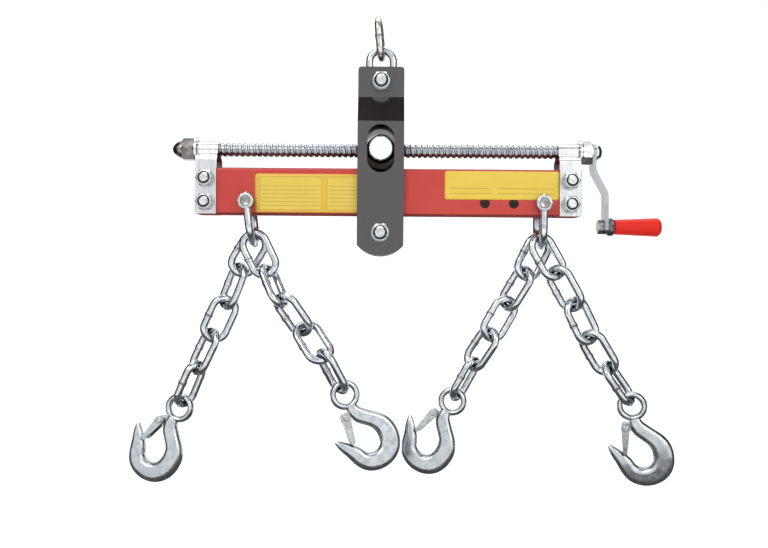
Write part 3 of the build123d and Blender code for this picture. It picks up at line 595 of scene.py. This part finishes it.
def rearWallDiscs():
    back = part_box("beam")[1][1]
    radius, wall, edge, sunk = (spareHoles[key] * mm for key in ("radius", "wall", "edge", "sunk"))
    flat = radius - edge
    profile = [(-wall, 0), (-wall, flat), (-wall, radius), (0, radius), (0, flat), (0, 0)]
    grids = []
    for name in spareHoles["names"]:
        x, _, z = mounts[name]["pos_m"]
        grids.append(turnedGrid((x, back - sunk, z), (0, 1, 0), profile, spareHoles["sides"]))
    # the discs' inner faces take the beam's pale inside tone, which is painted light
    discs = gridPiece("rearWallDiscs", grids, finishes["beam"])
    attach(discs, "beam")


rearWallDiscs()
print("rear wall closed")


# insert rings of the lock nuts: a short ring with its two front edges cut back by lip, sunk in the nut's
# collar between bolt and seat with a gap to each; radii and lengths in mm
insertRing = {"depth": 1.7, "gap": 0.05, "lip": 0.35, "sunk": 0.5, "cornerSlack": 1.05}
lockNuts = {"slider_nuts": {"body": "slider", "bolt": 6.0, "seat": 7.4, "flats": 18.0},
            "bracket_nuts": {"body": "beam", "bolt": 5.0, "seat": 6.4, "flats": 16.0}}


def insertRings(nutNode):
    sizes = lockNuts[nutNode]
    points = meshPoints(nodes[nutNode].data)
    low, high = points.min(0), points.max(0)
    corners, half = sizes["flats"] / np.sqrt(3) * mm, sizes["flats"] / 2 * mm
    inner, outer = (sizes["bolt"] + insertRing["gap"]) * mm, (sizes["seat"] - insertRing["gap"]) * mm
    depth, lip, sunk = (insertRing[key] * mm for key in ("depth", "lip", "sunk"))
    profile = [(-depth, inner), (-depth, outer), (-lip - sunk, outer), (-sunk, outer - lip),
               (-sunk, inner + lip), (-lip - sunk, inner), (-depth, inner)]
    grids = []
    for x in sorted({round(low[0] + corners, 6), round(high[0] - corners, 6)}):  # one place for one column
        for z in (low[2] + half, high[2] - half):
            near = np.hypot(points[:, 0] - x, points[:, 2] - z) < corners * insertRing["cornerSlack"]
            grids.append(turnedGrid((x, points[near, 1].min(), z), (0, -1, 0), profile))
    rings = gridPiece(nutNode.replace("nuts", "insertRings"), grids, finishes["nylon"])
    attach(rings, sizes["body"])


for nutNode in lockNuts:
    insertRings(nutNode)
print("insert rings seated")


# weld flash on a link, turned round the middle of the welded leg:
# radius = bulge - foot + hill * (foot + ridge * (mean + ripple * waves)), where hill is cos^2 along the leg
# and the waves are a few cosines round it, drawn anew for each link; sizes in mm
weldFlash = {"bulge": 4.36, "foot": 0.25, "ridge": 0.32, "mean": 0.55, "ripple": 0.45, "waves": (2, 3, 5, 7),
             "leastWave": 0.15, "mostWave": 0.4, "phase": 6.28, "drift": 0.05, "driftWaves": 3, "width": 3.6,
             "legRadius": 3.95, "legGap": 0.2, "middle": 3.2, "sides": 30, "rows": 11, "seed": 7}


def linkWeld(name, body, number):
    points = meshPoints(nodes[name].data)
    centre = (points.min(0) + points.max(0)) / 2
    axes = np.linalg.eigh(np.cov((points - points.mean(0)).T))[1]
    long, wide = axes[:, 2], axes[:, 1]
    run = (points - centre) @ long
    centre = centre + long * run.min() / 2 + long * run.max() / 2
    nearMiddle = np.abs((points - centre) @ long) < weldFlash["middle"] * mm
    reach = ((points[nearMiddle] - centre) @ wide).mean()
    spread = (points - centre) @ wide
    leg = (spread.max() - spread.min()) / 2 - (weldFlash["legRadius"] + weldFlash["legGap"]) * mm
    foot = centre + wide * leg * np.sign(reach)
    generator = np.random.default_rng(weldFlash["seed"] + number)
    along = np.linspace(-0.5, 0.5, weldFlash["rows"])
    turn = fullTurn(weldFlash["sides"])
    waves = sum(generator.uniform(weldFlash["leastWave"], weldFlash["mostWave"])
                * np.cos(count * turn + generator.uniform(0, weldFlash["phase"]))
                for count in weldFlash["waves"])
    drift = weldFlash["drift"] * np.cos(weldFlash["driftWaves"] * turn + number)
    hill = np.cos(np.pi * along)[:, None] ** 2
    ridge = weldFlash["ridge"] * (weldFlash["mean"] + weldFlash["ripple"] * waves[None])
    radius = weldFlash["bulge"] - weldFlash["foot"] + hill * (weldFlash["foot"] + ridge)
    axis, first, second = crossPair(long)
    shift = (along[:, None] + drift[None]) * weldFlash["width"] * mm
    grid = foot + shift[..., None] * axis + radius[..., None] * mm * circlePoints(turn, first, second)[None]
    ends = [np.broadcast_to(foot + axis * end, grid[:1].shape) for end in (shift.min(), shift.max())]
    flash = gridPiece(name + "_weld", [np.concatenate([ends[0], grid, ends[1]])], finishes["weldScale"])
    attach(flash, body)


for number, name in enumerate(linkNames):
    linkWeld(name, name, number)
linkWeld("upper_link", "upper", 40)  # these numbers only start the ripple of a link
linkWeld("lifting_link", "lifting", 41)
print("link welds drawn")


# peened end of a shackle pin: a shallow dish, along = rest + depth * (radius / rim)^2, turned round the pin's
# axis; the end of the split pin that locks it is a short round-ended stub on top of the eye; sizes in mm
shackleEnds = {"rim": 4.7, "edge": 0.15, "depth": 0.7, "rest": 0.08, "back": 0.03, "dishRows": 9,
               "eyeThickness": 8.8, "stubRadius": 1.5, "stubStart": 7.4, "stubEnd": 9.8, "stubShoulder": 0.6,
               "stubTip": 0.2, "stubTipShare": 0.75, "stubSides": 20}


def peenedEnd(side):
    low, _, middle = boxPoints(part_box(side + "_shackle_pin"))
    rim, back = shackleEnds["rim"], shackleEnds["back"]
    radius = np.linspace(0, rim, shackleEnds["dishRows"])
    along = shackleEnds["rest"] + shackleEnds["depth"] * (radius / rim) ** 2
    edge = rim + shackleEnds["edge"]
    rest = [(along[-1] - shackleEnds["edge"], edge), (back, edge), (back, 0)]
    profile = np.concatenate([np.stack([along, radius], -1), rest]) * mm
    dishGrid = turnedGrid((middle[0], low[1], middle[2]), (0, -1, 0), profile)
    dish = gridPiece(side + "_peenedEnd", [dishGrid], finishes["bareNut"])
    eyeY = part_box(side + "_shackle")[0][1] + shackleEnds["eyeThickness"] / 2 * mm
    wide, start, end = (shackleEnds[key] for key in ("stubRadius", "stubStart", "stubEnd"))
    profile = [(start, 0), (start, wide), (end - shackleEnds["stubShoulder"], wide),
               (end - shackleEnds["stubTip"], wide * shackleEnds["stubTipShare"]), (end, 0)]
    stubGrid = turnedGrid((middle[0], eyeY, middle[2]), (0, 0, 1), np.array(profile) * mm,
                          shackleEnds["stubSides"])
    stub = gridPiece(side + "_splitPin", [stubGrid], finishes["zincFastener"])
    for piece in (dish, stub):
        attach(piece, side + "_shackle")


for side in ("left", "right"):
    peenedEnd(side)
print("shackle pins peened")


# torsion spring at each latch: a helix of wire round the rivet, in mm,
# point = pivot + lift * axis + radius * (cos, sin)
latchSpring = {"wire": 0.42, "radius": 3.36, "turns": 3.2, "start": 3.75, "end": 5.55, "rows": 90}


def latchCoil(chain):
    pivot = joints[chain + "_latch_swing"]
    axis, first, second = crossPair(pivot["axis"])
    turn = np.linspace(0, 2 * np.pi * latchSpring["turns"], latchSpring["rows"])
    lift = np.linspace(latchSpring["start"], latchSpring["end"], latchSpring["rows"]) * mm
    swing = latchSpring["radius"] * mm * circlePoints(turn, first, second)
    path = np.array(pivot["pos_m"]) + lift[:, None] * axis + swing
    grid = tubeGrid(path, latchSpring["wire"] * mm)
    coil = gridPiece(chain + "_latchCoil", [grid], finishes["zincFastener"])
    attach(coil, chain + "_latch")


for chain in chainNames:
    latchCoil(chain)
print("latch springs wound")


# yellow labels on the beam's front: places in mm from the beam's left end and top; panels and ruled lines are
# shares of the label's width and height
labels = {
    "leftLabel": {"left": 62.4, "right": 207.0, "top": 6.4, "bottom": 46.4, "marginDeep": "#E0AF3E",
                  "marginPale": "#E8BC4A", "panelDeep": "#DDBF4E", "panelPale": "#E6CC5A",
                  "runs": ((0.035, 0.475), (0.515, 0.955)), "floor": 0.07, "ceiling": 0.93,
                  "bars": (0.07, 0.68, 0.92), "barHeight": 0.014, "postHalf": 0.002,
                  "rows": (0.17, 0.27, 0.37, 0.47, 0.57), "rowHeight": 0.018, "rowInset": 0.015},
    "rightLabel": {"left": 258.4, "right": 377.2, "top": 2.2, "bottom": 31.6, "marginDeep": "#E4BF3E",
                   "marginPale": "#EBC94A", "panelDeep": "#E2C246", "panelPale": "#EACD54",
                   "panels": [(0.02, 0.98, 0.06, 0.94)], "runs": ((0.04, 0.40), (0.46, 0.94)),
                   "rows": (0.20, 0.38), "rowHeight": 0.03},
}
labelSheet = {"columns": 41, "rows": 17, "corner": 1.2, "proud": 0.20, "behind": 0.02, "wave": 0.02,
              "waveAlong": 9.0, "waveUp": 4.0}


# the left label's panels are framed by bars and posts and ruled inside; the right one has two runs of lines
def ruleLabels():
    label = labels["leftLabel"]
    bars, thick, half, inset = (label[key] for key in ("bars", "barHeight", "postHalf", "rowInset"))
    label["panels"] = [(start, end, label["floor"], label["ceiling"]) for start, end in label["runs"]]
    label["lines"] = []
    for start, end in label["runs"]:
        label["lines"] += [(start, end, bar, bar + thick) for bar in bars]
        label["lines"] += [(post - half, post + half, bars[0], bars[-1] + thick) for post in (start, end)]
        label["lines"] += [(start + inset, end - inset, row, row + label["rowHeight"])
                           for row in label["rows"]]
    label = labels["rightLabel"]
    label["lines"] = [(start, end, row, row + label["rowHeight"]) for row in label["rows"]
                      for start, end in label["runs"]]


# a thin sheet (u, v) with its corners rounded by pull = corner - sqrt(corner^2 - inset^2) and a faint wave in
# depth; the UV map is the share of the label's width and height
def beamLabel(name):
    label = labels[name]
    low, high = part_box("beam")
    left, right = low[0] + label["left"] * mm, low[0] + label["right"] * mm
    bottom, top = high[2] - label["bottom"] * mm, high[2] - label["top"] * mm
    corner, proud, behind, waveDepth = (labelSheet[key] * mm for key in ("corner", "proud", "behind", "wave"))
    u, v = np.meshgrid(np.linspace(0, 1, labelSheet["columns"]), np.linspace(0, 1, labelSheet["rows"]))
    inset = np.clip(corner - np.minimum(v, 1 - v) * (top - bottom), 0, corner)
    pull = corner - np.sqrt(np.maximum(corner ** 2 - inset ** 2, 0))
    x = left + pull + u * (right - left - 2 * pull)
    wave = waveDepth * np.sin(u * labelSheet["waveAlong"]) * np.cos(v * labelSheet["waveUp"])
    front = np.stack([x, low[1] - proud - wave, bottom + v * (top - bottom)], -1)
    back = front.copy()
    back[..., 1] = low[1] - behind
    rims = [np.concatenate([face[0], face[1:, -1], face[-1, -2::-1], face[-2::-1, 0]])
            for face in (front, back)]
    sheet = gridPiece(name, [front, back, np.stack(rims)], labelVinyl(name + "Vinyl", label))
    uv = sheet.data.uv_layers.new(name="printing")
    corners = np.empty(len(sheet.data.loops), dtype=int)
    sheet.data.loops.foreach_get("vertex_index", corners)
    co = meshPoints(sheet.data)[corners]
    flat = np.stack([(co[:, 0] - left) / (right - left), (co[:, 2] - bottom) / (top - bottom)], -1)
    uv.data.foreach_set("uv", flat.ravel())
    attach(sheet, "beam")


ruleLabels()
for name in labels:
    beamLabel(name)
print("labels laid")


# 1 where the camera, a reflection or a clear surface sees it, and 0 for the light that it gives
def seenDirectly(tree):
    path = addNode(tree, "ShaderNodeLightPath")
    seen = addNode(tree, "ShaderNodeMath", None, {"operation": "MAXIMUM"},
                   {0: (path, "Is Camera Ray"), 1: (path, "Is Glossy Ray")})
    return addNode(tree, "ShaderNodeMath", None, {"operation": "MAXIMUM"},
                   {0: (seen, "Value"), 1: (path, "Is Transmission Ray")})


# pale floor swept up behind into a backdrop: a profile of straight runs and a quarter round, carried along X;
# sizes in metres
studio = {"floorZ": -0.530, "front": -3.0, "back": 1.6, "bend": 0.8, "height": 3.0, "halfWidth": 5.0,
          "bendSteps": 25, "columns": 9, "tone": "#F4F4F5", "lift": 0.42, "roughness": 0.9,
          "grainMm": 10 / 3, "grainBump": 0.02, "grainDepthMm": 0.1}


def sweptFloor():
    turn = np.linspace(0, np.pi / 2, studio["bendSteps"])
    bend, back = studio["bend"], studio["back"]
    y = np.concatenate([[studio["front"]], back - bend + bend * np.sin(turn), [back]])
    z = np.concatenate([[0], bend * (1 - np.cos(turn)), [studio["height"]]]) + studio["floorZ"]
    x = np.linspace(-studio["halfWidth"], studio["halfWidth"], studio["columns"])
    grid = np.stack(np.broadcast_arrays(x[None], y[:, None], z[:, None]), -1)
    finish, tree, shader, coord = newFinish("floorPaper")
    grain = addNode(tree, "ShaderNodeTexNoise", {"Scale": 1 / (studio["grainMm"] * mm)},
                    links={"Vector": (coord, "Object")})
    bump = addNode(tree, "ShaderNodeBump",
                   {"Strength": studio["grainBump"], "Distance": studio["grainDepthMm"] * mm},
                   links={"Height": (grain, "Fac")})
    lift = addNode(tree, "ShaderNodeMath", {1: studio["lift"]}, {"operation": "MULTIPLY"},
                   {0: (seenDirectly(tree), "Value")})
    shader.inputs["Base Color"].default_value = hexToLinear(studio["tone"])
    shader.inputs["Roughness"].default_value = studio["roughness"]
    shader.inputs["Emission Color"].default_value = (1, 1, 1, 1)
    tree.links.new(lift.outputs["Value"], shader.inputs["Emission Strength"])
    tree.links.new(bump.outputs["Normal"], shader.inputs["Normal"])
    gridPiece("sweptFloor", [grid], finish)


# dark flags outside the view give plated metal its dark edges; only reflections see them.
# each is middle + u * across + v * up, in metres, with u and v from -1 to 1
darkFlags = {
    "flagLeft": {"middle": (-0.95, 0.60, 0.15), "across": (-0.20, 0.85, 0), "up": (0, 0, 0.70),
                 "tone": "#0A0A0A"},
    "flagRight": {"middle": (0.95, 0.60, 0.15), "across": (0.20, 0.85, 0), "up": (0, 0, 0.70),
                  "tone": "#0A0A0A"},
    "flagFloor": {"middle": (0.0, -0.025, -0.526), "across": (0.90, 0, 0), "up": (0, 0.275, 0),
                  "tone": "#565656"},
    "flagTop": {"middle": (0.0, -0.70, 0.80), "across": (0.40, 0, 0), "up": (0, 0.20, 0.15),
                "tone": "#0A0A0A"},
}
flagSurface = {"points": 5, "roughness": 0.9}


def darkFlag(name):
    middle, across, up = (np.array(darkFlags[name][key]) for key in ("middle", "across", "up"))
    spread = np.linspace(-1, 1, flagSurface["points"])
    u, v = np.meshgrid(spread, spread)
    grid = middle + u[..., None] * across + v[..., None] * up
    finish, _, shader, _ = newFinish(name)
    shader.inputs["Base Color"].default_value = hexToLinear(darkFlags[name]["tone"])
    shader.inputs["Roughness"].default_value = flagSurface["roughness"]
    flag = gridPiece(name, [grid], finish)
    flag.visible_camera = False
    flag.visible_diffuse = False
    flag.visible_shadow = False


# soft lamps: place, aim and size in metres, power in watts
lamps = {"keyLamp": {"place": (-0.7, -1.3, 0.9), "aim": (0, 0, -0.25), "size": (0.9, 0.6), "power": 12},
         "fillLamp": {"place": (0.9, -1.2, 0.3), "aim": (0, 0, -0.25), "size": (0.7, 0.7), "power": 4},
         "topLamp": {"place": (0.0, 0.1, 1.3), "aim": (0, 0, -0.2), "size": (1.2, 0.5), "power": 9}}


# the lamp's turn about Z comes from the line to its aim seen from above, and its tilt from that line's slope
def areaLamp(name):
    values = lamps[name]
    lamp = bpy.data.lights.new(name, "AREA")
    lamp.shape = "RECTANGLE"
    lamp.size, lamp.size_y = values["size"]
    lamp.energy = values["power"]
    holder = bpy.data.objects.new(name, lamp)
    holder.location = values["place"]
    direction = np.array(values["place"]) - np.array(values["aim"])
    yaw = np.arctan2(direction[0], -direction[1])
    tilt = np.arctan2(np.hypot(direction[0], direction[1]), direction[2])
    holder.rotation_euler = (tilt, 0, yaw)
    scene.collection.objects.link(holder)


# pale room: white where it is seen, and dimmer as light on the object
roomLight = {"seen": 1.0, "given": 0.5}


def studioWorld():
    world = bpy.data.worlds.new("paleRoom")
    scene.world = world
    world.use_nodes = True
    tree = world.node_tree
    tree.nodes.clear()
    level = addNode(tree, "ShaderNodeMapRange", {"To Min": roomLight["given"], "To Max": roomLight["seen"]},
                    links={"Value": (seenDirectly(tree), "Value")})
    back = addNode(tree, "ShaderNodeBackground", {"Color": (1, 1, 1, 1)},
                   links={"Strength": (level, "Result")})
    addNode(tree, "ShaderNodeOutputWorld", links={"Surface": (back, "Background")})


sweptFloor()
for name in darkFlags:
    darkFlag(name)
for name in lamps:
    areaLamp(name)
studioWorld()
print("studio lit")


# the photograph's camera: square to the beam, a little below it, rolled half a degree; place in metres,
# lens and sensor in mm
photoCamera = {"place": (0.0075, -0.870, -0.2625), "lens": 38.8, "sensor": 36.0, "roll": -0.46,
               "clipStart": 0.01}
camera = bpy.data.cameras.new("photoCamera")
camera.lens = photoCamera["lens"]
camera.sensor_width = photoCamera["sensor"]
camera.clip_start = photoCamera["clipStart"]
cameraHolder = bpy.data.objects.new("photoCamera", camera)
cameraHolder.location = photoCamera["place"]
cameraHolder.rotation_euler = (np.pi / 2, np.radians(photoCamera["roll"]), 0)
scene.collection.objects.link(cameraHolder)
scene.camera = cameraHolder
scene.view_settings.view_transform = "Standard"

print("camera set")
